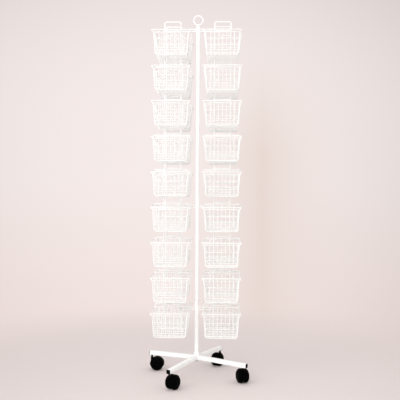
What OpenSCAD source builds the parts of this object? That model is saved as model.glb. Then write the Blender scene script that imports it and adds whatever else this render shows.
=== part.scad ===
// Two-sided spinner rack: four wire ladders of hook-on baskets on a turning pole,
// over a cross foot on four twin-wheel casters. Z is up and the floor is at z = 0.

/* [Baskets] */
// Number of basket rows, one above the other
row_count = 9; // [2:1:9]
// Height from one row to the next
row_pitch = 169; // [150:1:200]
// Height of the lowest row's front rail above the floor
lowest_rail_z = 329; // [300:1:360]
// Width of a basket over its top rim
rim_w = 190; // [176:1:194]
// Width of a basket's body at the front rail
body_w = 166; // [150:1:170]
// Width of a basket's body at its floor
floor_w = 152; // [140:1:160]
// Depth of a basket at the front rail
rail_depth = 105; // [90:1:120]
// Depth of a basket at its floor
floor_depth = 95; // [80:1:110]
// Height of the front rail above the floor of the basket
body_h = 104; // [90:1:115]
// Height of the top rim above the front rail
rim_rise = 11; // [8:1:16]
// Height of the back's top rail above the front rail
back_rise = 27; // [20:1:32]
// Thickness of the frame wires
frame_d = 4; // [3:0.1:5]
// Thickness of the thin mesh wires
mesh_d = 2.4; // [1.8:0.1:3]
// Drop of the single level mesh wire below the front rail
upper_wire_drop = 33; // [20:1:38]
// Level mesh wires close above the floor
low_level_wires = 4; // [2:1:5]
// Step between the level wires above the floor
low_wire_pitch = 12; // [8:1:13]
// Lowest level wire above the floor
low_wire_rise = 8; // [6:1:12]
// Mesh wires that run from front to back
long_wires = 7; // [4:1:10]
// Mesh wires that run from side to side
cross_wires = 4; // [2:1:6]
// Rounding of the frames' lower corners
corner_r = 12; // [8:1:16]
// Rounding of the rim's front corners
rim_corner_r = 14; // [8:1:20]
// Distance of each hook from the middle of its basket
hook_x = 30; // [15:1:34]
// Length of a hook below its bend, behind the rung
hook_drop = 10; // [6:1:16]

/* [Ladders] */
// Distance of each column's middle from the pole
column_x = 123; // [115:1:150]
// Distance of the ladders' plane from the pole's axis
ladder_y = 44; // [35:1:60]
// Width of a ladder between its stiles' centres
ladder_w = 80; // [76:1:100]
// Height of a ladder's top bar above the highest rung
ladder_top_rise = 47; // [30:1:75]
// Thickness of the stiles
stile_d = 5; // [4:0.1:6]
// Thickness of the rungs
rung_d = 4; // [3:0.1:4.5]
// Rounding of a ladder's top corners
ladder_r = 9; // [6:1:14]

/* [Pole and arms] */
// Outer diameter of the pole
pole_d = 21; // [21:0.5:24]
// Wall of the pole
pole_wall = 1.5; // [1:0.1:2.5]
// How far the pole ends below the top of the ladders
pole_top_drop = 15; // [0:1:30]
// Thickness of the arms' rods
arm_d = 5; // [4:0.1:7]
// Height between the two rods of an arm
arm_gap = 10; // [8:1:14]
// Distance of the upper arms below the pole's top end
upper_arms_drop = 17; // [13:1:22]
// Outer diameter of the ring on top
ring_d = 52; // [40:1:70]
// Thickness of the ring's wire
ring_wire_d = 6; // [4:0.5:8]
// Clearance of the ring over the pole's plug
ring_gap = 0.35; // [0.3:0.05:20]

/* [Bearing] */
// Diameter of the spindle that the pole turns on
spindle_d = 12; // [10:0.5:12]
// Height of the spindle's top above the floor
spindle_top_z = 430; // [300:1:600]
// Radial clearance of the spindle in its bushes
bush_clearance = 0.05; // [0.02:0.01:0.1]
// Diameter of the spindle where it passes through the hub
spindle_foot_d = 10; // [8:0.5:10]
// Height of each bush
bush_h = 24; // [16:1:40]
// Outer diameter of the hub's cup
cup_d = 30; // [28:0.5:36]
// Height of the hub's cup
cup_h = 14; // [13:0.5:30]
// Thickness of the cup's floor
cup_floor = 4; // [3:0.5:5]
// Thickness of each bearing race
race_h = 2.2; // [1.8:0.1:2.4]
// Number of balls
ball_count = 12; // [6:1:12]

/* [Foot] */
// Length of a leg from the pole's axis
leg_reach = 275; // [250:1:310]
// Side of the square leg tube
leg_w = 20; // [19:0.5:25]
// Wall of the leg tube
leg_wall = 1.5; // [1:0.1:2]
// Height of the legs' middle at the pole
hub_z = 97.5; // [96:0.5:110]
// Slope of the legs down to their ends, in degrees
leg_drop = 2; // [0:0.25:2.5]
// Turn of the foot about the pole, from the baskets' direction
leg_turn = 26; // [0:1:45]
// Length of the stem sockets in the tube ends
insert_l = 26; // [24:1:40]
// Thickness of the stem sockets' end caps
cap_t = 3; // [2:0.5:4]

/* [Casters] */
// Distance of the caster stem from the leg's end
stem_inset = 12; // [10:0.5:13]
// Diameter of the caster stem
stem_d = 9; // [8:0.5:9]
// Trail from the stem to the wheels' axle
trail = 27; // [25:0.5:28]
// Diameter of the wheels
wheel_d = 66; // [60:1:68]
// Width of one wheel
wheel_w = 22; // [18:0.5:24]
// Width of a wheel's flat tread
tread_w = 10; // [8:0.5:12]
// Width of the housing's core between the wheels
core_w = 12.5; // [12.5:0.5:16]
// Diameter of the wheels' axle
axle_d = 6; // [5:0.5:8]
// Radial clearance of axles and stems in their bores
pin_clearance = 0.05; // [0.02:0.01:0.1]

/* [Hidden] */
leg_places = ["right_front", "right_rear", "left_rear", "left_front"];

powder_white = [0.96, 0.96, 0.95];
moulded_black = [0.05, 0.05, 0.055];
zinc = [0.72, 0.73, 0.74];
natural_nylon = [0.9, 0.89, 0.84];

$fn = 32;
weld_gap = 0.05; // between wires that meet at a weld
end_gap = 0.25; // between a wire's flat end and the wire it is welded to
seat_gap = 0.3; // between pieces that rest on each other
eps = 0.01;
lap = 0.5; // of a straight wire in its bend
swell = 0.04; // of a bend's radius over the straight wire's

// Basket, from its back frame's plane, its middle and its front rail
floor_z = -body_h;
frame_r = frame_d / 2;
mesh_r = mesh_d / 2;
upright_offset = frame_r + mesh_r + weld_gap;
rail_offset = upright_offset - mesh_d - weld_gap;
hook_y = frame_d + weld_gap;
hook_bend_r = rung_d / 2 + frame_r + seat_gap;
rung_rise = back_rise + frame_d + 3;
ladder_offset = hook_y + hook_bend_r;
low_rails = [for (i = [low_level_wires - 1 : -1 : 0]) floor_z + low_wire_rise + i * low_wire_pitch];
mesh_rails = [0, -upper_wire_drop, each low_rails];
back_corners = [
    [-rim_w / 2 + frame_r, 0, back_rise],
    [rim_w / 2 - frame_r, 0, back_rise],
    [floor_w / 2, 0, floor_z],
    [-floor_w / 2, 0, floor_z]
];
back_bend = bend_apex(back_corners[0], back_corners[1], back_corners[2], corner_r);
back_lean = atan((back_corners[1].x - back_corners[2].x) / (back_rise - floor_z));
function back_half_at(z) = back_corners[2].x + (z - floor_z) * tan(back_lean);
wall_lean = atan((rail_depth - floor_depth) / body_h);
function depth_at(z) = floor_depth + (rail_depth - floor_depth) * (z - floor_z) / body_h;
function half_w_at(z) = (floor_w + (body_w - floor_w) * (z - floor_z) / body_h) / 2;
bend_inner_r = corner_r - frame_r;
function bend_depth(z) = max(0, floor_z + corner_r - z + mesh_r);
// How far a frame's rounded lower corner comes in at a level wire
function corner_cut(z) = bend_inner_r - sqrt(bend_inner_r * bend_inner_r - bend_depth(z) * bend_depth(z));
function spread(count, span) = [for (i = [0 : count - 1]) span * ((i + 0.5) / count - 0.5)];
cross_wire_z = floor_z - mesh_d - weld_gap;
upright_foot_z = floor_z + mesh_r + end_gap;
side_foot_z = cross_wire_z + mesh_r + end_gap;
function rail_z(row) = lowest_rail_z + (row_count - row) * row_pitch;
// Long wires keep the same places from front to back, evenly between the frame's uprights.
long_wire_x = spread(long_wires, floor_w * long_wires / (long_wires + 1));
cross_wire_y = [for (y = spread(cross_wires, floor_depth - 6)) y - floor_depth / 2];

// Ladders and arms
ladder_foot_z = rail_z(row_count) + floor_z + 4;
ladder_top_z = rail_z(1) + rung_rise + ladder_top_rise;
inner_stile_x = column_x - ladder_w / 2;
arm_end_y = ladder_y - stile_d / 2 - weld_gap;
middle_arms_z = rail_z(row_count - 3) + 12;
lower_arms_z = rail_z(row_count) + 12;
arm_root = pole_d / 2 + end_gap;
arm_tip = inner_stile_x - arm_d / 2 - weld_gap;
pole_bore_d = pole_d - 2 * pole_wall;
plug_l = 20;
plug_rise = 6.6;
pole_top_z = ladder_top_z - pole_top_drop;
upper_arms_z = pole_top_z - upper_arms_drop;
ring_z = pole_top_z + weld_gap + plug_rise + ring_gap + ring_d / 2;
finial_stem_d = 7;

// Foot
leg_top_z = hub_z + leg_w / 2;
leg_root = leg_w / 2 * (1 + sin(leg_drop)) + weld_gap;
tube_reach = leg_reach - cap_t - weld_gap;
insert_w = leg_w - 2 * leg_wall - 0.2;
stem_reach = leg_reach - stem_inset;
leg_end_z = hub_z - stem_reach * tan(leg_drop);
hub_lip = 1; // of the hub's block below the legs
spindle_bore_d = spindle_d + 0.1;
cup_bore_d = pole_d + 1.4;
nut_w = 1.7 * spindle_foot_d;
nut_h = 9;
nut_z = hub_z - leg_w / 2 - hub_lip - weld_gap - nut_h;

// Turning bearing, stacked on the cup's floor
race_d = pole_d;
cage_d = race_d - 0.6;
cage_bore_d = spindle_d + 1.4;
ball_d = 0.8 * (cage_d - cage_bore_d) / 2;
ball_circle_d = (cage_d + cage_bore_d) / 2;
race_z = leg_top_z + cup_floor;
ball_z = race_z + race_h + ball_d / 2 + 0.1;
upper_race_z = ball_z + ball_d / 2 + 0.1;
pole_foot_z = upper_race_z + race_h;

// Casters
caster_turns = [-43, -3, 23, -6]; // about the stems, from straight inward
axle_z = wheel_d / 2;
hub_r = 11;
wheel_gap = 0.5;
wheel_face = 4;
fender_gap = 1;
fender_t = 1.8;
fender_r = wheel_d / 2 + fender_gap + fender_t;
fender_w = core_w + 2 * (wheel_gap + tread_w);
fender_start = -12;
fender_end = 192;
stem_bore_d = stem_d + 2 * pin_clearance;
stem_low_z = axle_z + 10;
stem_top_z = leg_end_z + insert_w / 2 - 3;
stem_flange_d = stem_d + 5;
stem_flange_h = 2.5;
stem_flange_z = leg_end_z - leg_w / 2 - stem_flange_d / 2 * tan(leg_drop) - 0.1 - stem_flange_h;
boss_d = stem_d + 5;
boss_low_z = stem_low_z + 1;
boss_top_z = axle_z + fender_r - 2;

// A straight wire from a to b
module rod(a, b, d) {
    v = b - a;
    translate(a)
        rotate([0, acos(v.z / norm(v)), atan2(v.y, v.x)])
            cylinder(d = d, h = norm(v));
}

function unit(v) = v / norm(v);
function turn_at(a, c, b) = 180 - acos(unit(a - c) * unit(b - c));
function setback(a, c, b, r) = r * tan(turn_at(a, c, b) / 2);

// The point of a bend that lies nearest its corner
function bend_apex(a, c, b, r) =
    c + unit(unit(a - c) + unit(b - c)) * (r / cos(turn_at(a, c, b) / 2) - r);

// The round bend at corner c of a wire that comes from a and leaves to b
module bend(a, c, b, d, r) {
    turn = turn_at(a, c, b);
    start = c + unit(a - c) * setback(a, c, b, r);
    centre = c + unit(unit(a - c) + unit(b - c)) * r / cos(turn / 2);
    ex = (start - centre) / r;
    ey = unit(c - a);
    ez = cross(ex, ey);
    multmatrix([
        [ex.x, ey.x, ez.x, centre.x],
        [ex.y, ey.y, ez.y, centre.y],
        [ex.z, ey.z, ez.z, centre.z],
        [0, 0, 0, 1]
    ])
        rotate_extrude(angle = turn)
            translate([r, 0])
                circle(d = d + 2 * swell);
}

// A wire bent through a list of points, and joined at its ends where closed is true
module bent_wire(points, d, r, closed = false) {
    n = len(points);
    last = closed ? n - 1 : n - 2;
    for (i = [0 : last]) {
        p = points[i];
        q = points[(i + 1) % n];
        before = points[(i + n - 1) % n];
        after = points[(i + 2) % n];
        cut_p = closed || i > 0 ? setback(before, p, q, r) : 0;
        cut_q = closed || i < n - 2 ? setback(p, q, after, r) : 0;
        if (norm(q - p) > cut_p + cut_q + eps)
            rod(p + unit(q - p) * max(0, cut_p - lap), q - unit(q - p) * max(0, cut_q - lap), d);
        if (cut_q > 0)
            bend(p, q, after, d, r);
    }
}

// Basket pieces. The back frame stands in the plane y = 0 and the front leans out to -y.

function front_point(x, z, inward = 0) = [x, -depth_at(z) + inward / cos(wall_lean), z];

module front_frame() {
    flare = (rim_w - body_w) / 2;
    tip_z = rim_rise - frame_r * (1 + sin(atan(flare / rim_rise))) - end_gap;
    tip_x = body_w / 2 + flare * tip_z / rim_rise;
    bent_wire([
        front_point(-tip_x, tip_z),
        front_point(-body_w / 2, 0),
        front_point(-floor_w / 2, floor_z),
        front_point(floor_w / 2, floor_z),
        front_point(body_w / 2, 0),
        front_point(tip_x, tip_z)
    ], frame_d, corner_r);
}

module rim() {
    root = [back_bend.x, -frame_d - end_gap, back_bend.z];
    corner = [rim_w / 2 - frame_r, -depth_at(rim_rise), rim_rise];
    bend_end_x = corner.x - setback(root, corner, [0, corner.y, corner.z], rim_corner_r);
    half = bend_end_x - weld_gap;
    rod([-half, corner.y, corner.z], [half, corner.y, corner.z], frame_d);
    for (side = [-1, 1])
        bent_wire([
            [side * root.x, root.y, root.z],
            [side * corner.x, corner.y, corner.z],
            [side * bend_end_x, corner.y, corner.z]
        ], frame_d, rim_corner_r);
}

module back_frame() {
    bent_wire(back_corners, frame_d, corner_r, closed = true);
}

// Upright wires stand inside the level wires that tie them together.
module front_and_back_mesh() {
    for (z = mesh_rails) {
        half = half_w_at(z) - frame_r - end_gap - corner_cut(z);
        back_half = back_half_at(z) - frame_r - end_gap - corner_cut(z);
        y = front_point(0, z, rail_offset).y;
        rod([-half, y, z], [half, y, z], mesh_d);
        rod([-back_half, -rail_offset, z], [back_half, -rail_offset, z], mesh_d);
    }
    for (x = long_wire_x) {
        rod(front_point(x, upright_foot_z, upright_offset), front_point(x, rim_rise, upright_offset), mesh_d);
        rod([x, -upright_offset, upright_foot_z], [x, -upright_offset, back_rise], mesh_d);
    }
}

module side_mesh() {
    for (side = [-1, 1]) {
        for (z = mesh_rails) {
            x = side * (half_w_at(z) - rail_offset);
            rod([x, -depth_at(z) + frame_r + end_gap, z], [x, -frame_r - weld_gap, z], mesh_d);
        }
        for (y = cross_wire_y) {
            foot = side_foot_z;
            rod([side * (half_w_at(foot) - upright_offset), y, foot],
                [side * (half_w_at(mesh_r) - upright_offset), y, mesh_r], mesh_d);
        }
    }
}

module floor_mesh() {
    for (x = long_wire_x)
        rod([x, -floor_depth + frame_r + end_gap, floor_z], [x, -frame_r - weld_gap, floor_z], mesh_d);
    reach = half_w_at(cross_wire_z) - upright_offset + mesh_r;
    for (y = cross_wire_y)
        rod([-reach, y, cross_wire_z], [reach, y, cross_wire_z], mesh_d);
}

module hooks() {
    for (x = [-hook_x, hook_x]) {
        rod([x, hook_y, back_rise - hook_drop], [x, hook_y, rung_rise + lap], frame_d);
        translate([x, hook_y + hook_bend_r, rung_rise])
            rotate([90, 0, -90])
                rotate_extrude(angle = 180)
                    translate([hook_bend_r, 0])
                        circle(d = frame_d + 2 * swell);
        back_y = hook_y + 2 * hook_bend_r;
        rod([x, back_y, rung_rise + lap], [x, back_y, rung_rise - hook_drop], frame_d);
    }
}

// The two baskets of a row on one side of the rack
module baskets(row) {
    color(powder_white)
        for (x = [-column_x, column_x])
            translate([x, -ladder_y - ladder_offset, rail_z(row)]) {
                front_frame();
                rim();
                back_frame();
                front_and_back_mesh();
                side_mesh();
                floor_mesh();
                hooks();
            }
}

// Turning frame

module ladder() {
    foot = ladder_foot_z;
    top = ladder_top_z - stile_d / 2;
    half = ladder_w / 2;
    color(powder_white) {
        bent_wire([[-half, 0, foot], [-half, 0, top], [half, 0, top], [half, 0, foot]], stile_d, ladder_r);
        rod([-half, 0, foot + stile_d], [half, 0, foot + stile_d], rung_d);
        for (row = [1 : row_count])
            rod([-half, 0, rail_z(row) + rung_rise], [half, 0, rail_z(row) + rung_rise], rung_d);
    }
}

// Twin rods from the pole to cross rods between the ladders' inner stiles
module arms(z) {
    color(powder_white)
        for (side = [-1, 1])
            for (rise = [z - arm_gap / 2, z + arm_gap / 2]) {
                rod([side * arm_root, 0, rise], [side * arm_tip, 0, rise], arm_d);
                rod([side * inner_stile_x, -arm_end_y, rise], [side * inner_stile_x, arm_end_y, rise], arm_d);
            }
}

module pole() {
    color(powder_white)
        translate([0, 0, pole_foot_z])
            difference() {
                cylinder(d = pole_d, h = pole_top_z - pole_foot_z);
                translate([0, 0, -1])
                    cylinder(d = pole_bore_d, h = pole_top_z - pole_foot_z + 2);
            }
}

module pole_plug() {
    color(powder_white)
        translate([0, 0, pole_top_z + weld_gap])
            difference() {
                union() {
                    cylinder(d1 = pole_d, d2 = pole_d - 2, h = plug_rise / 3);
                    translate([0, 0, plug_rise / 3])
                        cylinder(d1 = pole_d - 2, d2 = finial_stem_d + 4, h = plug_rise * 2 / 3);
                    translate([0, 0, -plug_l])
                        cylinder(d = pole_bore_d - 0.1, h = plug_l + 0.2);
                }
                translate([0, 0, -plug_l + 3])
                    cylinder(d = finial_stem_d + 0.1, h = plug_l + plug_rise);
            }
}

module ring_finial() {
    stem_foot_z = pole_top_z - plug_l + 5;
    ring_r = (ring_d - ring_wire_d) / 2;
    color(powder_white) {
        translate([0, 0, ring_z])
            rotate([90, 0, 0])
                rotate_extrude()
                    translate([ring_r, 0])
                        circle(d = ring_wire_d);
        translate([0, 0, stem_foot_z])
            cylinder(d = finial_stem_d, h = ring_z - ring_r - stem_foot_z);
    }
}

// Turning bearing

module race(z) {
    color(zinc)
        translate([0, 0, z])
            difference() {
                cylinder(d = race_d, h = race_h);
                translate([0, 0, -1])
                    cylinder(d = spindle_d + 1, h = race_h + 2);
            }
}

module ball_ring() {
    color(natural_nylon)
        difference() {
            translate([0, 0, ball_z - ball_d / 4])
                cylinder(d = cage_d, h = ball_d / 2);
            translate([0, 0, ball_z - ball_d / 2])
                cylinder(d = cage_bore_d, h = ball_d);
            for (i = [1 : ball_count])
                rotate([0, 0, i * 360 / ball_count])
                    translate([ball_circle_d / 2, 0, ball_z - ball_d / 2])
                        cylinder(d = ball_d + 0.1, h = ball_d);
        }
    color(zinc)
        for (i = [1 : ball_count])
            rotate([0, 0, i * 360 / ball_count])
                translate([ball_circle_d / 2, 0, ball_z])
                    sphere(d = ball_d);
}

module bush(z) {
    color(natural_nylon)
        translate([0, 0, z])
            difference() {
                cylinder(d = pole_bore_d - 0.1, h = bush_h);
                translate([0, 0, -1])
                    cylinder(d = spindle_d + 2 * bush_clearance, h = bush_h + 2);
            }
}

// Foot

// The block that the legs butt, with the bearing's cup on top
module foot_hub() {
    color(powder_white)
        difference() {
            union() {
                rotate([0, 0, -leg_turn])
                    translate([-leg_w / 2, -leg_w / 2, hub_z - leg_w / 2 - hub_lip])
                        cube([leg_w, leg_w, leg_w + hub_lip + cup_floor / 2]);
                translate([0, 0, leg_top_z])
                    cylinder(d = cup_d, h = cup_h);
            }
            cylinder(d = spindle_foot_d + 0.1, h = leg_top_z + cup_h);
            translate([0, 0, leg_top_z])
                cylinder(d = spindle_bore_d, h = cup_h);
            translate([0, 0, race_z])
                cylinder(d = cup_bore_d, h = cup_h);
        }
}

// The spindle's shoulder stands on the hub's block and its thinner end passes through it.
module spindle() {
    shoulder_z = leg_top_z + weld_gap;
    color(zinc) {
        translate([0, 0, shoulder_z])
            cylinder(d = spindle_d, h = spindle_top_z - shoulder_z - 2);
        translate([0, 0, spindle_top_z - 2])
            cylinder(d1 = spindle_d, d2 = spindle_d - 4, h = 2);
        translate([0, 0, nut_z - 2])
            cylinder(d = spindle_foot_d, h = shoulder_z - nut_z + 3);
    }
}

module spindle_nut() {
    color(zinc)
        translate([0, 0, nut_z])
            difference() {
                cylinder(d = nut_w, h = nut_h, $fn = 6);
                translate([0, 0, -1])
                    cylinder(d = spindle_foot_d + 0.1, h = nut_h + 2);
            }
}

// The frame of a leg's tube, which slopes down along +x
module sloped() {
    translate([0, 0, hub_z])
        rotate([0, leg_drop, 0])
            children();
}

module stem_hole(rise) {
    translate([stem_reach, 0, 0])
        cylinder(d = stem_d + 0.1, h = rise);
}

module leg(turn) {
    room_w = leg_w - 2 * leg_wall;
    color(powder_white)
        rotate([0, 0, turn])
            difference() {
                sloped()
                    difference() {
                        translate([leg_root, -leg_w / 2, -leg_w / 2])
                            cube([tube_reach - leg_root, leg_w, leg_w]);
                        translate([leg_root - 1, -room_w / 2, -room_w / 2])
                            cube([tube_reach - leg_root + 2, room_w, room_w]);
                    }
                stem_hole(leg_end_z);
            }
}

// Black plugs that close the tubes and hold the casters' stems
module stem_sockets() {
    color(moulded_black)
        for (i = [0 : 3])
            rotate([0, 0, i * 90 - leg_turn])
                difference() {
                    sloped() {
                        translate([tube_reach - insert_l, -insert_w / 2, -insert_w / 2])
                            cube([insert_l + 0.2, insert_w, insert_w]);
                        translate([tube_reach + weld_gap, -leg_w / 2, -leg_w / 2])
                            cube([cap_t, leg_w, leg_w]);
                    }
                    stem_hole(stem_top_z + 1);
                }
}

module caster_stems() {
    color(zinc)
        for (i = [0 : 3])
            rotate([0, 0, i * 90 - leg_turn])
                translate([stem_reach, 0, 0]) {
                    translate([0, 0, stem_low_z])
                        cylinder(d = stem_d, h = stem_top_z - stem_low_z);
                    translate([0, 0, stem_flange_z])
                        cylinder(d = stem_flange_d, h = stem_flange_h);
                }
}

// Casters, in the frame of one stem: it stands at the origin and the wheels trail along -x.

module at_caster(i) {
    rotate([0, 0, 90 * i - leg_turn])
        translate([stem_reach, 0, 0])
            rotate([0, 0, caster_turns[i]])
                children();
}

module wheel_axis() {
    translate([-trail, 0, axle_z])
        rotate([90, 0, 0])
            children();
}

module caster_housing() {
    color(moulded_black)
        difference() {
            union() {
                wheel_axis() {
                    linear_extrude(core_w, center = true)
                        intersection() {
                            circle(r = fender_r - fender_t / 2, $fn = 96);
                            union() {
                                circle(r = hub_r);
                                translate([-fender_r, 0])
                                    square([2 * fender_r, fender_r]);
                            }
                        }
                    rotate([0, 0, fender_start])
                        rotate_extrude(angle = fender_end - fender_start, $fn = 96)
                            translate([fender_r - fender_t, -fender_w / 2])
                                square([fender_t, fender_w]);
                }
                difference() {
                    translate([0, 0, boss_low_z])
                        cylinder(d = boss_d, h = boss_top_z - boss_low_z);
                    wheel_axis()
                        for (turn = [0, 180])
                            rotate([turn, 0, 0])
                                translate([0, 0, core_w / 2 - 0.2])
                                    cylinder(r = fender_r - fender_t / 2, h = fender_w, $fn = 96);
                }
            }
            translate([0, 0, stem_low_z - 2])
                cylinder(d = stem_bore_d, h = boss_top_z);
            wheel_axis()
                cylinder(d = axle_d + 0.1, h = core_w + 2, center = true);
        }
}

module caster_axle() {
    color(zinc)
        wheel_axis()
            cylinder(d = axle_d, h = core_w + 2 * (wheel_gap + wheel_w - wheel_face) - 1, center = true);
}

// One domed wheel, on the side +1 or -1 of the housing
module caster_wheel(side) {
    r = wheel_d / 2;
    bore_r = axle_d / 2 + pin_clearance;
    dome = [for (a = [15 : 15 : 75]) [hub_r + (r - hub_r) * cos(a), tread_w + (wheel_w - tread_w) * sin(a)]];
    color(moulded_black)
        wheel_axis()
            rotate([side > 0 ? 0 : 180, 0, 0])
                translate([0, 0, core_w / 2 + wheel_gap])
                    rotate_extrude($fn = 96)
                        polygon(concat(
                            [[bore_r, 0], [r - 1, 0], [r, 1], [r, tread_w]],
                            dome,
                            [[hub_r, wheel_w], [0, wheel_w], [0, wheel_w - wheel_face]],
                            [[bore_r, wheel_w - wheel_face]]
                        ));
}

foot_hub();
stem_sockets();
caster_stems();
spindle();
spindle_nut();
race(race_z);  // lower_race
ball_ring();
race(upper_race_z);  // upper_race
bush(pole_foot_z);  // lower_bush
bush(spindle_top_z - bush_h - 8);  // upper_bush
pole();
pole_plug();
ring_finial();
arms(upper_arms_z);  // upper_arms
arms(middle_arms_z);  // middle_arms
arms(lower_arms_z);  // lower_arms
translate([-column_x, -ladder_y, 0]) ladder();  // front_left_ladder
translate([column_x, -ladder_y, 0]) ladder();  // front_right_ladder
translate([-column_x, ladder_y, 0]) ladder();  // rear_left_ladder
translate([column_x, ladder_y, 0]) ladder();  // rear_right_ladder

for (row = [1 : row_count]) {
    baskets(row);
    rotate([0, 0, 180]) baskets(row);
}

for (i = [0 : 3]) {
    leg(90 * i - leg_turn);
    at_caster(i) caster_housing();
    at_caster(i) caster_axle();
    at_caster(i) caster_wheel(1);
    at_caster(i) caster_wheel(-1);
}
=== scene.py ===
"""A two-sided spinner rack of wire baskets in a plain pale studio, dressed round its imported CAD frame."""

import logging
import math
from dataclasses import dataclass, field
from enum import Enum
from typing import Sequence

import bmesh
import bpy
from mathutils import Matrix, Vector


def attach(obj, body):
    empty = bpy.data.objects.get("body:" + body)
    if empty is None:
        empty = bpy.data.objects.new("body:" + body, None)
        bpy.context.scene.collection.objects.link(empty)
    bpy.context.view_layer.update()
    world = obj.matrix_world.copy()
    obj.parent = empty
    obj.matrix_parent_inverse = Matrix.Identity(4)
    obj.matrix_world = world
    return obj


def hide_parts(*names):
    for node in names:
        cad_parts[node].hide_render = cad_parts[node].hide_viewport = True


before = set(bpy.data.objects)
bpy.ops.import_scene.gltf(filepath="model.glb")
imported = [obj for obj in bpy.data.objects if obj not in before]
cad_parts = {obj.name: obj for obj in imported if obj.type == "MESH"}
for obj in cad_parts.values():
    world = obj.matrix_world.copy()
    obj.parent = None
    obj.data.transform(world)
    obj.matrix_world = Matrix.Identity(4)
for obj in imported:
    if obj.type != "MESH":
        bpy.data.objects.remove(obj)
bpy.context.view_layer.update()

log = logging.getLogger("rack")

MM = 0.001
BLACK = (0.0, 0.0, 0.0)
Colour = tuple[float, float, float]
Triple = tuple[float, float, float]
Path = list[Vector]


# Named options


class Named(Enum):
    """Options whose names are words of the CAD's node names."""

    @property
    def word(self) -> str:
        """The option's word in the CAD nodes."""
        return self.name.lower()


class Side(Named):
    """The two faces of the rack, with the turn that takes the front one there."""

    FRONT = 0
    REAR = 180


class Column(Named):
    """The basket columns, by the sign of x on their own side of the rack."""

    LEFT = -1
    RIGHT = 1


class Place(Named):
    """The legs, each with its quarter turn from the right front one and its caster's turn about the stem."""

    RIGHT_FRONT = (0, -43)
    RIGHT_REAR = (90, -3)
    LEFT_REAR = (180, 23)
    LEFT_FRONT = (270, -6)

    @property
    def quarter(self) -> float:
        """Turn of the leg from the right front one, in degrees."""
        return self.value[0]

    @property
    def caster_turn(self) -> float:
        """Turn of the caster from straight inward, in degrees."""
        return self.value[1]


class Hand(Named):
    """The two wheels of a caster, by the side of the housing that they run on."""

    LEFT = 1
    RIGHT = -1


class Slot(Enum):
    """The record's material slots."""

    POWDER = "white_powder_coat"
    ZINC = "zinc_plated_steel"
    NYLON = "natural_nylon"
    MOULDING = "black_moulding"
    WHEEL = "black_wheel_plastic"


# Shader maths


class Value:
    """A number in a material, on which Python's operators add Math nodes."""

    def __init__(self, shader: "Shader", socket: bpy.types.NodeSocket) -> None:
        """Keeps the socket and the shader that it belongs to."""
        self.shader = shader
        self.socket = socket

    def _math(self, operation: str, first: "Value | float", second: "Value | float") -> "Value":
        """Adds one Math node.

        Args:
            operation: Blender's name of the operation.
            first: The first number.
            second: The second number.

        Returns:
            The node's result.
        """
        return self.shader.add("ShaderNodeMath", {"operation": operation}, {0: first, 1: second})

    def __add__(self, other: "Value | float") -> "Value":
        """self + other."""
        return self._math("ADD", self, other)

    __radd__ = __add__

    def __sub__(self, other: "Value | float") -> "Value":
        """self - other."""
        return self._math("SUBTRACT", self, other)

    def __rsub__(self, other: "Value | float") -> "Value":
        """other - self."""
        return self._math("SUBTRACT", other, self)

    def __mul__(self, other: "Value | float") -> "Value":
        """self * other."""
        return self._math("MULTIPLY", self, other)

    __rmul__ = __mul__

    def __truediv__(self, other: "Value | float") -> "Value":
        """self / other."""
        return self._math("DIVIDE", self, other)

    def __abs__(self) -> "Value":
        """abs(self)."""
        return self._math("ABSOLUTE", self, 0.0)


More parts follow.
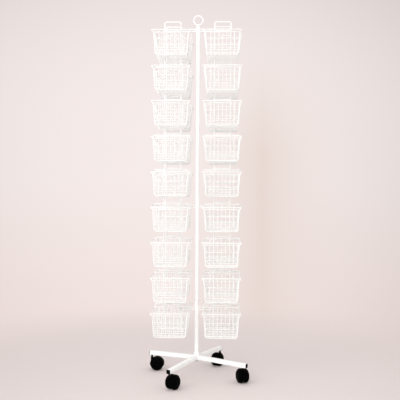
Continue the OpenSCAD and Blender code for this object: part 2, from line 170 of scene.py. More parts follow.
class Shader:
    """The node tree of one material, around one Principled shader."""

    def __init__(self, name: str) -> None:
        """Makes an empty material.

        Args:
            name: The material's name.
        """
        self.material = bpy.data.materials.new(name)
        self.material.use_nodes = True
        self.tree = self.material.node_tree
        self.tree.nodes.clear()
        self.surface = self.tree.nodes.new("ShaderNodeOutputMaterial").inputs["Surface"]

    def add(
        self,
        kind: str,
        settings: dict[str, object] | None = None,
        sockets: dict[int | str, object] | None = None,
        output: int | str = 0,
    ) -> Value:
        """Adds one node.

        Args:
            kind: Blender's node type.
            settings: The node's own settings. A ramp's stops go under "stops" as (place, grey) pairs.
            sockets: Values or links of its inputs.
            output: The output that is wanted.

        Returns:
            That output.
        """
        node = self.tree.nodes.new(kind)
        for key, setting in (settings or {}).items():
            if key == "stops":
                self._set_stops(node.color_ramp, setting)
            else:
                setattr(node, key, setting)
        for key, value in (sockets or {}).items():
            if isinstance(value, Value):
                self.tree.links.new(value.socket, node.inputs[key])
            else:
                node.inputs[key].default_value = value
        return Value(self, node.outputs[output])

    @staticmethod
    def _set_stops(ramp: bpy.types.ColorRamp, stops: Sequence[tuple[float, float]]) -> None:
        """Sets a ramp's two stops.

        Args:
            ramp: The ramp.
            stops: The place and the grey of each stop.
        """
        for element, (place, grey) in zip(ramp.elements, stops):
            element.position = place
            element.color = (grey, grey, grey, 1.0)

    def position(self) -> Value:
        """The point's place on its piece, in metres."""
        return self.add("ShaderNodeTexCoord", output="Object")

    def vector(
        self,
        operation: str,
        first: Value,
        second: Triple | None = None,
        output: int | str = 0,
    ) -> Value:
        """Adds one Vector Math node.

        Args:
            operation: Blender's name of the operation.
            first: The first vector.
            second: The second vector, if the operation takes one.
            output: The output that is wanted.

        Returns:
            That output.
        """
        sockets = {0: first} if second is None else {0: first, 1: second}
        return self.add("ShaderNodeVectorMath", {"operation": operation}, sockets, output)

    def noise(self, scale: float, detail: float = 3.0, stretch: Triple | None = None) -> Value:
        """Soft noise round a half.

        Args:
            scale: Features per metre.
            detail: Octaves.
            stretch: Factors on x, y and z before the noise, if any.

        Returns:
            The noise, 0 to 1.
        """
        place = self.position()
        if stretch is not None:
            place = self.vector("MULTIPLY", place, stretch)
        return self.add("ShaderNodeTexNoise", sockets={"Vector": place, "Scale": scale, "Detail": detail})

    def step(self, value: Value, low: float, high: float) -> Value:
        """A soft step.

        Args:
            value: What is tested.
            low: Where the step starts.
            high: Where it ends.

        Returns:
            0 below low and 1 above high.
        """
        return self.add("ShaderNodeValToRGB", {"stops": ((low, 0.0), (high, 1.0))}, {"Fac": value})

    def clamp(self, value: Value, limit: float = 1.0) -> Value:
        """Keeps a value between 0 and a limit.

        Args:
            value: The value.
            limit: The highest that it may be.

        Returns:
            The kept value.
        """
        if limit == 1.0:
            return self.add("ShaderNodeClamp", sockets={"Value": value})
        return self.clamp(value / limit) * limit

    def blend(self, mask: Value, first: "Colour | Value", second: "Colour | Value") -> Value:
        """Mixes two colours.

        Args:
            mask: 0 gives the first colour and 1 the second.
            first: A colour or a link.
            second: A colour or a link.

        Returns:
            The mixed colour.
        """
        pair = [value if isinstance(value, Value) else (*value, 1.0) for value in (first, second)]
        return self.add(
            "ShaderNodeMix", {"data_type": "RGBA"}, {0: mask, 6: pair[0], 7: pair[1]}, output=2
        )

    def bump(self, height: Value, depth: float, strength: float = 1.0) -> Value:
        """A normal from a height.

        Args:
            height: The height, 0 to 1.
            depth: What a height of 1 is, in metres.
            strength: How much of it shows.

        Returns:
            The normal.
        """
        sockets = {"Strength": strength, "Distance": depth, "Height": height}
        return self.add("ShaderNodeBump", sockets=sockets, output="Normal")

    def principled(self, sockets: dict[str, object]) -> bpy.types.Material:
        """Ends the tree in a Principled shader.

        Args:
            sockets: Values or links of its inputs.

        Returns:
            The finished material.
        """
        closure = self.add("ShaderNodeBsdfPrincipled", sockets=sockets)
        self.tree.links.new(closure.socket, self.surface)
        return self.material


# Finishes


@dataclass(frozen=True)
class PowderCoat:
    """Baked white powder: a fine orange peel, faint cloudiness, rubbed spots and a little settled dust."""

    name: str = "white powder coat"
    slot: Slot = Slot.POWDER
    clean: Colour = (0.92, 0.915, 0.905)
    shade: Colour = (0.87, 0.86, 0.845)
    rubbed: Colour = (0.63, 0.61, 0.585)
    cloud_scale: float = 9.0
    dust_scale: float = 70.0
    scuff_scale: float = 150.0
    peel_scale: float = 520.0
    peel_depth: float = 0.00012

    def build(self) -> bpy.types.Material:
        """Makes the material.

        Returns:
            The material.
        """
        shader = Shader(self.name)
        cloud = shader.noise(self.cloud_scale, 2.0)
        dust = shader.noise(self.dust_scale, 4.0)
        scuff = shader.step(shader.noise(self.scuff_scale, 5.0), 0.66, 0.74)
        tone = shader.blend(shader.step(cloud * 0.6 + dust * 0.4, 0.42, 0.72), self.clean, self.shade)
        peel = shader.noise(self.peel_scale, 1.0)
        return shader.principled(
            {
                "Base Color": shader.blend(scuff * 0.55, tone, self.rubbed),
                "Roughness": 0.30 + 0.16 * cloud + 0.10 * dust + 0.15 * scuff,
                "Normal": shader.bump(peel, self.peel_depth, 0.55),
                "Specular IOR Level": 0.45,
            }
        )


@dataclass(frozen=True)
class ZincPlate:
    """Bright zinc on turned steel, with lathe lines and a dull bloom here and there."""

    name: str = "zinc plate"
    slot: Slot = Slot.ZINC
    bright: Colour = (0.66, 0.67, 0.69)
    dull: Colour = (0.42, 0.43, 0.45)
    bloom_scale: float = 120.0
    line_scale: float = 900.0

    def build(self) -> bpy.types.Material:
        """Makes the material.

        Returns:
            The material.
        """
        shader = Shader(self.name)
        bloom = shader.step(shader.noise(self.bloom_scale, 4.0), 0.42, 0.68)
        lines = shader.noise(self.line_scale, 2.0, (0.15, 0.15, 1.0))
        return shader.principled(
            {
                "Base Color": shader.blend(bloom, self.bright, self.dull),
                "Metallic": 1.0,
                "Roughness": 0.24 + 0.22 * bloom + 0.08 * lines,
                "Normal": shader.bump(lines, 0.00005, 0.5),
            }
        )


@dataclass(frozen=True)
class NaturalNylon:
    """Uncoloured nylon, waxy, slightly yellow where it is older."""

    name: str = "natural nylon"
    slot: Slot = Slot.NYLON
    fresh: Colour = (0.79, 0.77, 0.70)
    aged: Colour = (0.66, 0.61, 0.48)
    age_scale: float = 60.0
    grain_scale: float = 1400.0

    def build(self) -> bpy.types.Material:
        """Makes the material.

        Returns:
            The material.
        """
        shader = Shader(self.name)
        age = shader.step(shader.noise(self.age_scale, 3.0), 0.40, 0.75)
        grain = shader.noise(self.grain_scale, 2.0)
        return shader.principled(
            {
                "Base Color": shader.blend(age, self.fresh, self.aged),
                "Roughness": 0.38 + 0.15 * grain,
                "Normal": shader.bump(grain, 0.00004, 0.5),
            }
        )


@dataclass(frozen=True)
class BlackMoulding:
    """Spark-textured black plastic with a thin film of pale dust and paler rubbed spots."""

    name: str = "black moulding"
    slot: Slot = Slot.MOULDING
    black: Colour = (0.0008, 0.0008, 0.0009)
    dusty: Colour = (0.0045, 0.0042, 0.004)
    rubbed: Colour = (0.0018, 0.0018, 0.0020)
    dust_scale: float = 85.0
    rub_scale: float = 38.0
    texture_scale: float = 1500.0
    texture_depth: float = 0.00006

    def build(self) -> bpy.types.Material:
        """Makes the material.

        Returns:
            The material.
        """
        shader = Shader(self.name)
        dust = shader.step(shader.noise(self.dust_scale, 5.0), 0.52, 0.80)
        rub = shader.step(shader.noise(self.rub_scale, 3.0), 0.48, 0.66)
        spark = shader.noise(self.texture_scale, 2.0)
        tone = shader.blend(rub, self.black, self.rubbed)
        return shader.principled(
            {
                "Base Color": shader.blend(dust * 0.5, tone, self.dusty),
                "Roughness": 0.44 - 0.10 * rub + 0.20 * dust + 0.08 * spark,
                "Normal": shader.bump(spark, self.texture_depth, 0.6),
                "Specular IOR Level": 0.012,
            }
        )


@dataclass(frozen=True)
class WheelPlastic:
    """Smooth black nylon of the wheels: greyed blotches and fine scratches."""

    name: str = "black wheel plastic"
    slot: Slot = Slot.WHEEL
    black: Colour = (0.0007, 0.0007, 0.0008)
    greyed: Colour = (0.005, 0.0047, 0.0044)
    blotch_scale: float = 95.0
    scratch_scale: float = 700.0

    def build(self) -> bpy.types.Material:
        """Makes the material.

        Returns:
            The material.
        """
        shader = Shader(self.name)
        blotch = shader.step(shader.noise(self.blotch_scale, 5.0), 0.50, 0.78)
        scratch = shader.noise(self.scratch_scale, 3.0, (1.0, 0.12, 1.0))
        return shader.principled(
            {
                "Base Color": shader.blend(blotch * 0.55, self.black, self.greyed),
                "Roughness": 0.34 + 0.22 * blotch + 0.10 * scratch,
                "Normal": shader.bump(scratch, 0.00004, 0.6),
                "Specular IOR Level": 0.015,
            }
        )


@dataclass
class Finishes:
    """The finishes by slot, each built once, and the two that differ from their slot's: a darker copy of the
    white coat for the basket wires, which paints on the shade of thin wires, and the dark zinc of the caster
    stems.
    """

    # Painted shade: the basket wires' coat is a darker copy of the white coat, standing in for the shading
    # of thin wires.
    wire_coat: PowderCoat = PowderCoat(
        "white powder coat on wire", clean=(0.90, 0.89, 0.88), shade=(0.84, 0.83, 0.815)
    )
    stem_zinc: ZincPlate = ZincPlate(
        "black zinc plate", bright=(0.012, 0.012, 0.013), dull=(0.022, 0.021, 0.020)
    )
    built: dict[Slot, bpy.types.Material] = field(default_factory=dict)
    wire: bpy.types.Material | None = None
    stem: bpy.types.Material | None = None

    def build(self) -> "Finishes":
        """Builds every finish.

        Returns:
            The finishes themselves.
        """
        for finish in (PowderCoat(), ZincPlate(), NaturalNylon(), BlackMoulding(), WheelPlastic()):
            self.built[finish.slot] = finish.build()
        # The wire finish is the darker copy of the white coat, with painted shade.
        self.wire = self.wire_coat.build()
        self.stem = self.stem_zinc.build()
        return self

    def dress(
        self, piece: bpy.types.Object, slot: Slot, finish: bpy.types.Material | None = None
    ) -> bpy.types.Object:
        """Gives a piece one finish all over.

        Args:
            piece: The piece.
            slot: Its slot.
            finish: The finish, where it isn't the slot's own.

        Returns:
            The piece.
        """
        piece.data.materials.clear()
        piece.data.materials.append(finish or self.built[slot])
        return piece


# Mesh tools


def mm(*values: float) -> Vector:
    """A point given in millimetres."""
    return Vector(values) * MM


def turned(degrees: float) -> Matrix:
    """A turn about the vertical."""
    return Matrix.Rotation(math.radians(degrees), 4, "Z")


def turns(count: int) -> list[float]:
    """Equal turns round a circle, in radians."""
    return [2 * math.pi * index / count for index in range(count)]


def on_circle(reach: float, turn: float, rise: float = 0.0) -> Vector:
    """A point at a reach from local z."""
    return Vector((reach * math.cos(turn), reach * math.sin(turn), rise))


def spread(count: int, span: float) -> list[float]:
    """Middles of equal shares of a span.

    Args:
        count: How many.
        span: The whole width, round zero.

    Returns:
        The middles, from low to high.
    """
    return [span * ((index + 0.5) / count - 0.5) for index in range(count)]


def rounded(corners: Sequence[Vector], radius: float, steps: int, closed: bool = False) -> Path:
    """A path with its corners rounded.

    Args:
        corners: The corner points.
        radius: The bends' radius.
        steps: Points added along each bend.
        closed: Whether the path comes back to its start.

    Returns:
        The path's points.
    """
    path: Path = []
    count = len(corners)
    for index, corner in enumerate(corners):
        if not closed and index in (0, count - 1):
            path.append(corner.copy())
            continue
        before = (corners[index - 1] - corner).normalized()
        after = (corners[(index + 1) % count] - corner).normalized()
        half = before.angle(after) / 2
        centre = corner + (before + after).normalized() * (radius / math.sin(half))
        start = corner + before * (radius / math.tan(half)) - centre
        end = corner + after * (radius / math.tan(half)) - centre
        sweep = start.angle(end)
        for step in range(steps + 1):
            share = step / steps
            arm = (start * math.sin((1 - share) * sweep) + end * math.sin(share * sweep)) / math.sin(sweep)
            path.append(centre + arm)
    return path


@dataclass
class Draft:
    """The points and faces of one piece before it becomes a mesh.

    A wire's cut ends narrow to end_reach of its radius, over end_break of its diameter.
    """

    end_break: float = 0.18
    end_reach: float = 0.8
    weld_rises: tuple[float, ...] = (-0.86, -0.3, 0.3, 0.86)
    collar_waist: float = 0.45
    points: list[Vector] = field(default_factory=list)
    faces: list[tuple[int, ...]] = field(default_factory=list)

    def ring(self, points: Sequence[Vector]) -> list[int]:
        """Adds a ring of points.

        Args:
            points: The points, in order.

        Returns:
            Their numbers.
        """
        first = len(self.points)
        self.points.extend(points)
        return list(range(first, first + len(points)))

    def bridge(self, first: Sequence[int], second: Sequence[int]) -> None:
        """Joins two rings of the same count with quads.

        Args:
            first: The ring that comes first along the sweep.
            second: The next ring.
        """
        count = len(first)
        for index in range(count):
            after = (index + 1) % count
            self.faces.append((first[index], first[after], second[after], second[index]))

    def loft(self, rings: Sequence[Sequence[Vector]], closed: bool = False) -> None:
        """Skins a row of rings, and closes its ends with a face each unless it comes back to its start.

        Args:
            rings: The rings' points, all of one count.
            closed: Whether the last ring meets the first.
        """
        numbers = [self.ring(points) for points in rings]
        for first, second in zip(numbers, numbers[1:]):
            self.bridge(first, second)
        if closed:
            self.bridge(numbers[-1], numbers[0])
        else:
            self.faces.append(tuple(reversed(numbers[0])))
            self.faces.append(tuple(numbers[-1]))

    def wire(self, path: Path, diameter: float, sides: int, closed: bool = False) -> None:
        """Sweeps a round wire along a path, with its cut ends slightly broken.

        Args:
            path: The path's points.
            diameter: The wire's diameter.
            sides: Sides of its section.
            closed: Whether it comes back to its start.
        """
        radius = diameter / 2
        break_l = min(self.end_break * diameter, (path[1] - path[0]).length / 4)
        if not closed:
            first = (path[1] - path[0]).normalized() * break_l
            last = (path[-1] - path[-2]).normalized() * break_l
            path = [path[0], path[0] + first, *path[1:-1], path[-1] - last, path[-1]]
        count = len(path)
        across = Vector((0.0, 0.0, 1.0))
        direction = (path[1] - path[0]).normalized()
        if abs(direction.z) > 0.9:
            across = Vector((0.0, 1.0, 0.0))
        across = (across - direction * across.dot(direction)).normalized()
        rings = []
        for index, point in enumerate(path):
            before = path[index - 1] if closed or index > 0 else point
            after = path[(index + 1) % count] if closed or index < count - 1 else point
            direction = (after - before).normalized()
            across = (across - direction * across.dot(direction)).normalized()
            beside = direction.cross(across)
            reach = radius * (self.end_reach if not closed and index in (0, count - 1) else 1.0)
            rings.append(
                [
                    point + (across * math.cos(turn) + beside * math.sin(turn)) * reach
                    for turn in turns(sides)
                ]
            )
        self.loft(rings, closed)

    def weld(self, centre: Vector, size: Vector, sides: int = 8) -> None:
        """Adds a weld: a low rounded lump.

        Args:
            centre: Its middle.
            size: Its half lengths along x, y and z.
            sides: Points round it.
        """
        rings = []
        for rise in self.weld_rises:
            reach = math.sqrt(1 - rise * rise)
            rings.append([centre + size * on_circle(reach, turn, rise) for turn in turns(sides)])
        self.loft(rings)

    def collar(
        self, foot: Vector, axis: Vector, inner: float, outer: float, height: float, sides: int
    ) -> None:
        """Adds a weld bead round a rod, where the rod stands on something.

        Args:
            foot: The middle of the bead's base.
            axis: The rod's direction away from the base.
            inner: The rod's radius.
            outer: The bead's radius at its base.
            height: How far the bead climbs the rod.
            sides: Points round it.
        """
        axis = axis.normalized()
        across = axis.orthogonal().normalized()
        beside = axis.cross(across)
        waist = inner + (outer - inner) * self.collar_waist
        profile = [
            (inner * 0.9, -0.2 * height),
            (outer, 0.0),
            (waist, height * self.collar_waist),
            (inner, height),
            (inner * 0.9, height),
        ]
        rings = [
            [
                foot + (across * math.cos(turn) + beside * math.sin(turn)) * reach + axis * rise
                for reach, rise in profile
            ]
            for turn in turns(sides)
        ]
        self.loft(rings, closed=True)

    def revolve(self, profile: Sequence[tuple[float, float]], segments: int, place: Matrix) -> None:
        """Turns a closed profile about an axis.

        Args:
            profile: (radius, height) points round the section.
            segments: Steps of the whole turn.
            place: Takes the axis from local z to its place.
        """
        self.loft(
            [[place @ on_circle(reach, turn, rise) for reach, rise in profile] for turn in turns(segments)],
            closed=True,
        )

    def mesh(self, name: str, sharp: float = 38.0) -> bpy.types.Mesh:
        """Makes the mesh, with its faces turned outward and smooth up to an angle.

        Args:
            name: The mesh's name.
            sharp: Edges over this many degrees stay sharp.

        Returns:
            The mesh.
        """
        made = bpy.data.meshes.new(name)
        made.from_pydata([tuple(point) for point in self.points], [], self.faces)
        made.validate()
        work = bmesh.new()
        work.from_mesh(made)
        bmesh.ops.recalc_face_normals(work, faces=work.faces)
        work.to_mesh(made)
        work.free()
        made.shade_smooth()
        made.set_sharp_from_angle(angle=math.radians(sharp))
        return made


def placed(mesh: bpy.types.Mesh, place: Matrix) -> bpy.types.Mesh:
    """Copies a mesh to its place, so that the box round a turned piece stays tight.

    Args:
        mesh: The mesh at the origin.
        place: Where the copy stands.

    Returns:
        The copy.
    """
    copy = mesh.copy()
    copy.transform(place)
    return copy


def show(name: str, mesh: bpy.types.Mesh, place: Matrix | None = None) -> bpy.types.Object:
    """Puts a mesh in the scene.

    Args:
        name: The piece's name.
        mesh: Its mesh.
        place: Where it stands.

    Returns:
        The piece.
    """
    piece = bpy.data.objects.new(name, mesh)
    bpy.context.scene.collection.objects.link(piece)
    if place is not None:
        piece.matrix_world = place
    return piece


# The rack


@dataclass
class Rack:
    """The sizes that the sub-assemblies share, in millimetres."""

    rows: int = 9
    pitch: float = 169.0
    lowest_rail_z: float = 329.0
    rung_rise: float = 34.0
    column_x: float = 123.0
    ladder_y: float = 44.0
    ladder_w: float = 80.0
    stile_d: float = 5.0
    pole_d: float = 21.0
    foot_turn: float = -26.0
    leg_reach: float = 275.0


@dataclass
class Baskets(Rack):
    """The wire baskets, all from one mesh, whose origin is in the back frame at the front rail's height."""

    rim_w: float = 190.0
    body_w: float = 166.0
    floor_w: float = 152.0
    rail_depth: float = 105.0
    floor_depth: float = 95.0
    body_h: float = 104.0
    rim_rise: float = 11.0
    back_rise: float = 27.0
    frame_d: float = 4.0
    mesh_d: float = 2.4
    long_wires: int = 7
    cross_wires: int = 4
    cross_margin: float = 6.0
    corner_r: float = 12.0
    rim_corner_r: float = 14.0
    mesh_bend_r: float = 7.0
    hook_x: float = 30.0
    hook_drop: float = 10.0
    hook_bend_r: float = 4.3
    upper_wire_drop: float = 33.0
    low_level_wires: int = 4
    low_wire_pitch: float = 12.0
    low_wire_rise: float = 8.0
    wire_cut: float = 1.4
    upright_rise: float = 1.6
    rim_end: float = 1.6
    rim_weld_y: float = 2.2
    tip_drop: float = 2.2
    tip_weld_rise: float = 0.6
    weld_inset: float = 0.9
    hook_gap: float = 0.05
    frame_sides: int = 10
    mesh_sides: int = 8
    weld_sides: int = 6
    corner_steps: int = 5
    rim_steps: int = 7
    mesh_steps: int = 4
    hook_steps: int = 10
    rim_weld: Triple = (2.6, 1.8, 2.4)
    tip_weld: Triple = (2.6, 2.4, 1.5)
    rail_weld: Triple = (1.5, 1.5, 1.4)
    upright_weld: Triple = (1.0, 0.9, 1.3)
    side_weld: Triple = (0.9, 1.0, 1.3)
    floor_weld: Triple = (1.2, 1.2, 0.8)
    hook_weld: Triple = (1.6, 1.3, 2.6)

    @property
    def plane_y(self) -> float:
        """How far the back frames' middles lie before the middle of the rack."""
        return self.ladder_y + self.hook_bend_r + self.hook_gap + self.frame_d

    @property
    def rail_inset(self) -> float:
        """How far the level wires' middles lie inside the frames'."""
        return (self.frame_d - self.mesh_d) / 2

    @property
    def upright_inset(self) -> float:
        """How far the uprights' middles lie inside the frames'."""
        return (self.frame_d + self.mesh_d) / 2

    @property
    def level_rails(self) -> list[float]:
        """Heights of the level mesh wires."""
        low = [self.low_wire_rise + index * self.low_wire_pitch for index in range(self.low_level_wires)]
        return [0.0, -self.upper_wire_drop, *(rise - self.body_h for rise in low)]

    @property
    def long_places(self) -> list[float]:
        """Places of the wires that run from front to back, even between the frame's uprights."""
        return spread(self.long_wires, self.floor_w * self.long_wires / (self.long_wires + 1))

    @property
    def back_bend(self) -> tuple[float, float]:
        """Where the back frame's upper bend comes nearest to its corner.

        Returns:
            The place's x and z.
        """
        corner = Vector((self.rim_w / 2 - self.frame_d / 2, self.back_rise))
        down = (Vector((self.floor_w / 2, -self.body_h)) - corner).normalized()
        level = Vector((-1.0, 0.0))
        half = level.angle(down) / 2
        apex = corner + (level + down).normalized() * self.corner_r * (1 / math.sin(half) - 1)
        return apex.x, apex.y

    def corner_cut(self, z: float) -> float:
        """How far a frame's rounded lower corner comes in at a height."""
        into = max(0.0, self.corner_r - self.body_h - z)
        return self.corner_r - math.sqrt(self.corner_r**2 - into**2)

    def depth_at(self, z: float) -> float:
        """Depth of the front wires at a height."""
        return self.floor_depth + (self.rail_depth - self.floor_depth) * (z + self.body_h) / self.body_h

    def half_w_at(self, z: float) -> float:
        """Half the body's width at a height."""
        return (self.floor_w + (self.body_w - self.floor_w) * (z + self.body_h) / self.body_h) / 2

    def back_half_at(self, z: float) -> float:
        """Half the back frame's width at a height.

        Args:
            z: The height.

        Returns:
            The half width.
        """
        top_half = self.rim_w / 2 - self.frame_d / 2
        share = (z + self.body_h) / (self.back_rise + self.body_h)
        return self.floor_w / 2 + (top_half - self.floor_w / 2) * share

    def _frames(self, draft: Draft) -> None:
        """Adds the front frame, the rim and the back frame.

        Args:
            draft: Where they go.
        """
        flare = (self.rim_w - self.body_w) / 2
        tip_z = self.rim_rise - self.tip_drop
        tip_x = self.body_w / 2 + flare * tip_z / self.rim_rise
        front = [
            mm(x, -self.depth_at(z), z)
            for x, z in (
                (-tip_x, tip_z),
                (-self.body_w / 2, 0),
                (-self.floor_w / 2, -self.body_h),
                (self.floor_w / 2, -self.body_h),
                (self.body_w / 2, 0),
                (tip_x, tip_z),
            )
        ]
        wire_d, sides = self.frame_d * MM, self.frame_sides
        draft.wire(rounded(front, self.corner_r * MM, self.corner_steps), wire_d, sides)
        half = self.rim_w / 2 - self.frame_d / 2
        bend_x, bend_z = self.back_bend
        rim = [
            mm(-bend_x, -self.rim_end, bend_z),
            mm(-half, -self.depth_at(self.rim_rise), self.rim_rise),
            mm(half, -self.depth_at(self.rim_rise), self.rim_rise),
            mm(bend_x, -self.rim_end, bend_z),
        ]
        draft.wire(rounded(rim, self.rim_corner_r * MM, self.rim_steps), wire_d, sides)
        back = [
            mm(-half, 0, self.back_rise),
            mm(half, 0, self.back_rise),
            mm(self.floor_w / 2, 0, -self.body_h),
            mm(-self.floor_w / 2, 0, -self.body_h),
        ]
        loop = rounded(back, self.corner_r * MM, self.corner_steps, closed=True)
        draft.wire(loop, wire_d, sides, closed=True)
        for side in (-1, 1):
            draft.weld(mm(side * bend_x, -self.rim_weld_y, bend_z), mm(*self.rim_weld))
            tip = mm(side * tip_x, -self.depth_at(tip_z), tip_z + self.tip_weld_rise)
            draft.weld(tip, mm(*self.tip_weld))

    def _level_rails(self, draft: Draft) -> None:
        """Adds the level mesh wires of the four walls, the long ones welded to the frames.

        Args:
            draft: Where they go.
        """
        inset, wire_d, sides = self.rail_inset, self.mesh_d * MM, self.mesh_sides
        for z in self.level_rails:
            front = self.depth_at(z)
            cut = self.wire_cut + self.corner_cut(z)
            for y, half in ((inset - front, self.half_w_at(z) - cut), (-inset, self.back_half_at(z) - cut)):
                draft.wire([mm(-half, y, z), mm(half, y, z)], wire_d, sides)
                for side in (-1, 1):
                    end = mm(side * (half - self.weld_inset), y, z)
                    draft.weld(end, mm(*self.rail_weld), self.weld_sides)
            for side in (-1, 1):
                x = side * (self.half_w_at(z) - inset)
                draft.wire([mm(x, self.wire_cut - front, z), mm(x, -self.wire_cut, z)], wire_d, sides)

    def _uprights(self, draft: Draft) -> None:
        """Adds the bent mesh wires that go down one wall, along the floor and up the other.

        Args:
            draft: Where they go.
        """
        inset, wire_d, meet = self.upright_inset, self.mesh_d * MM, self.mesh_d / 2
        sides, steps = self.mesh_sides, self.mesh_steps
        for x in self.long_places:
            path = [
                mm(x, inset - self.depth_at(self.rim_rise), self.rim_rise + self.upright_rise),
                mm(x, inset - self.depth_at(-self.body_h), -self.body_h),
                mm(x, -inset, -self.body_h),
                mm(x, -inset, self.back_rise + self.upright_rise),
            ]
            draft.wire(rounded(path, self.mesh_bend_r * MM, steps), wire_d, sides)
            weld = mm(*self.upright_weld)
            for z in (*self.level_rails, self.rim_rise):
                draft.weld(mm(x, inset - self.depth_at(z) - meet, z), weld, self.weld_sides)
            for z in (*self.level_rails, self.back_rise):
                draft.weld(mm(x, meet - inset, z), weld, self.weld_sides)
        low = -self.body_h - self.mesh_d
        for place in spread(self.cross_wires, self.floor_depth - self.cross_margin):
            y = place - self.floor_depth / 2
            reach, top = self.half_w_at(low) - inset, self.half_w_at(0) - inset
            path = [mm(-top, y, meet), mm(-reach, y, low), mm(reach, y, low), mm(top, y, meet)]
            draft.wire(rounded(path, self.mesh_bend_r * MM, steps), wire_d, sides)
            for z in self.level_rails:
                for side in (-1, 1):
                    x = side * (self.half_w_at(z) - inset + meet)
                    draft.weld(mm(x, y, z), mm(*self.side_weld), self.weld_sides)
            for x in self.long_places:
                draft.weld(mm(x, y, low + meet), mm(*self.floor_weld), self.weld_sides)

    def _hooks(self, draft: Draft) -> None:
        """Adds the two hooks that hang on a rung.

        Args:
            draft: Where they go.
        """
        start_y = self.frame_d + self.hook_gap
        top = self.rung_rise
        reach, steps = self.hook_bend_r, self.hook_steps
        for x in (-self.hook_x, self.hook_x):
            arch = [
                mm(x, start_y + reach * (1 - math.cos(turn)), top + reach * math.sin(turn))
                for turn in (math.pi * step / steps for step in range(steps + 1))
            ]
            start = mm(x, start_y, self.back_rise - self.hook_drop)
            end = mm(x, start_y + 2 * reach, top - self.hook_drop)
            draft.wire([start, *arch, end], self.frame_d * MM, self.frame_sides)
            draft.weld(mm(x, self.frame_d / 2, self.back_rise), mm(*self.hook_weld))

    def mesh(self) -> bpy.types.Mesh:
        """Builds the mesh that all baskets share.

        Returns:
            The mesh.
        """
        draft = Draft()
        self._frames(draft)
        self._level_rails(draft)
        self._uprights(draft)
        self._hooks(draft)
        return draft.mesh("wire basket")

    def build(self, finishes: Finishes) -> None:
        """Hangs the baskets on both sides of the rack.

        Args:
            finishes: The finishes.
        """
        mesh = self.mesh()
        for side in Side:
            for row in range(1, self.rows + 1):
                for column in Column:
                    rail_z = self.lowest_rail_z + (self.rows - row) * self.pitch
                    hang = Matrix.Translation(mm(column.value * self.column_x, -self.plane_y, rail_z))
                    name = f"{side.word}_{column.word}_basket_row_{row}"
                    basket = show(name, mesh, turned(side.value) @ hang)
                    # The wires wear the darker copy of the white coat: painted shade.
                    finishes.dress(basket, Slot.POWDER, finishes.wire)
                    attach(basket, "spinner")
                    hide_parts(f"{side.word}_baskets_row_{row}")
        log.info("baskets: %d of %d faces each", 4 * self.rows, len(mesh.polygons))


@dataclass
class Ladders(Rack):
    """The welds of the four ladders. Their wires are the CAD's own."""

    foot_z: float = 229.0
    rung_d: float = 4.0
    bead_r: float = 2.9
    bead_h: float = 1.9
    bead_sink: float = 0.35

    def mesh(self) -> bpy.types.Mesh:
        """Builds the beads at the ends of the rungs.

        Returns:
            The mesh.
        """
        draft = Draft()
        rungs = [self.lowest_rail_z + self.rung_rise + row * self.pitch for row in range(self.rows)]
        radii = (self.rung_d / 2 * MM, self.bead_r * MM)
        for z in (self.foot_z + self.stile_d, *rungs):
            for side in (-1, 1):
                foot = mm(side * (self.ladder_w / 2 - self.stile_d / 2 + self.bead_sink), 0, z)
                draft.collar(foot, Vector((-side, 0, 0)), *radii, self.bead_h * MM, 12)
        return draft.mesh("ladder welds")

    def build(self, finishes: Finishes) -> None:
        """Adds each ladder's welds.

        Args:
            finishes: The finishes.
        """
        mesh = self.mesh()
        for side in Side:
            for column in Column:
                y = -self.ladder_y if side is Side.FRONT else self.ladder_y
                place = Matrix.Translation(mm(column.value * self.column_x, y, 0))
                beads = show(f"{side.word}_{column.word}_ladder_welds", mesh, place)
                finishes.dress(beads, Slot.POWDER)
                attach(beads, "spinner")
        log.info("ladder welds: four sets")


@dataclass
class Arms(Rack):
    """The welds of the twin arms at the pole, the cross rods and the ladders."""

    levels: dict[str, float] = field(
        default_factory=lambda: {"upper": 1730.0, "middle": 848.0, "lower": 341.0}
    )
    gap: float = 10.0
    rod_d: float = 5.0
    root_bead: tuple[float, float] = (3.9, 2.4)
    tip_bead: tuple[float, float] = (3.3, 2.0)
    root_sink: float = 0.35
    tip_lift: float = 0.3
    end_lift: float = 2.3

    @property
    def inner_stile_x(self) -> float:
        """How far the ladders' inner stiles stand from the pole's axis."""
        return self.column_x - self.ladder_w / 2

    def _bead(self, draft: Draft, foot: Vector, axis: Triple, bead: tuple[float, float], sides: int) -> None:
        """Adds a bead round a rod.

        Args:
            draft: Where it goes.
            foot: The middle of its base.
            axis: The rod's direction away from the base.
            bead: Its radius and height.
            sides: Points round it.
        """
        radius, height = bead
        draft.collar(foot, Vector(axis), self.rod_d / 2 * MM, radius * MM, height * MM, sides)

    def mesh(self, z: float) -> bpy.types.Mesh:
        """Builds the beads of one pair of arms.

        Args:
            z: The pair's height.

        Returns:
            The mesh.
        """
        draft = Draft()
        for rise in (z - self.gap / 2, z + self.gap / 2):
            for side in (-1, 1):
                root = mm(side * (self.pole_d / 2 - self.root_sink), 0, rise)
                self._bead(draft, root, (side, 0, 0), self.root_bead, 14)
                tip = mm(side * (self.inner_stile_x - self.rod_d / 2 + self.tip_lift), 0, rise)
                self._bead(draft, tip, (-side, 0, 0), self.tip_bead, 12)
                for face in (-1, 1):
                    end = mm(side * self.inner_stile_x, face * (self.ladder_y - self.end_lift), rise)
                    self._bead(draft, end, (0, -face, 0), self.tip_bead, 12)
        return draft.mesh("arm welds")

    def build(self, finishes: Finishes) -> None:
        """Adds the welds of every pair of arms.

        Args:
            finishes: The finishes.
        """
        for word, z in self.levels.items():
            beads = show(f"{word}_arm_welds", self.mesh(z))
            finishes.dress(beads, Slot.POWDER)
            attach(beads, "spinner")
            log.info("%s arm welds at %.0f mm", word, z)


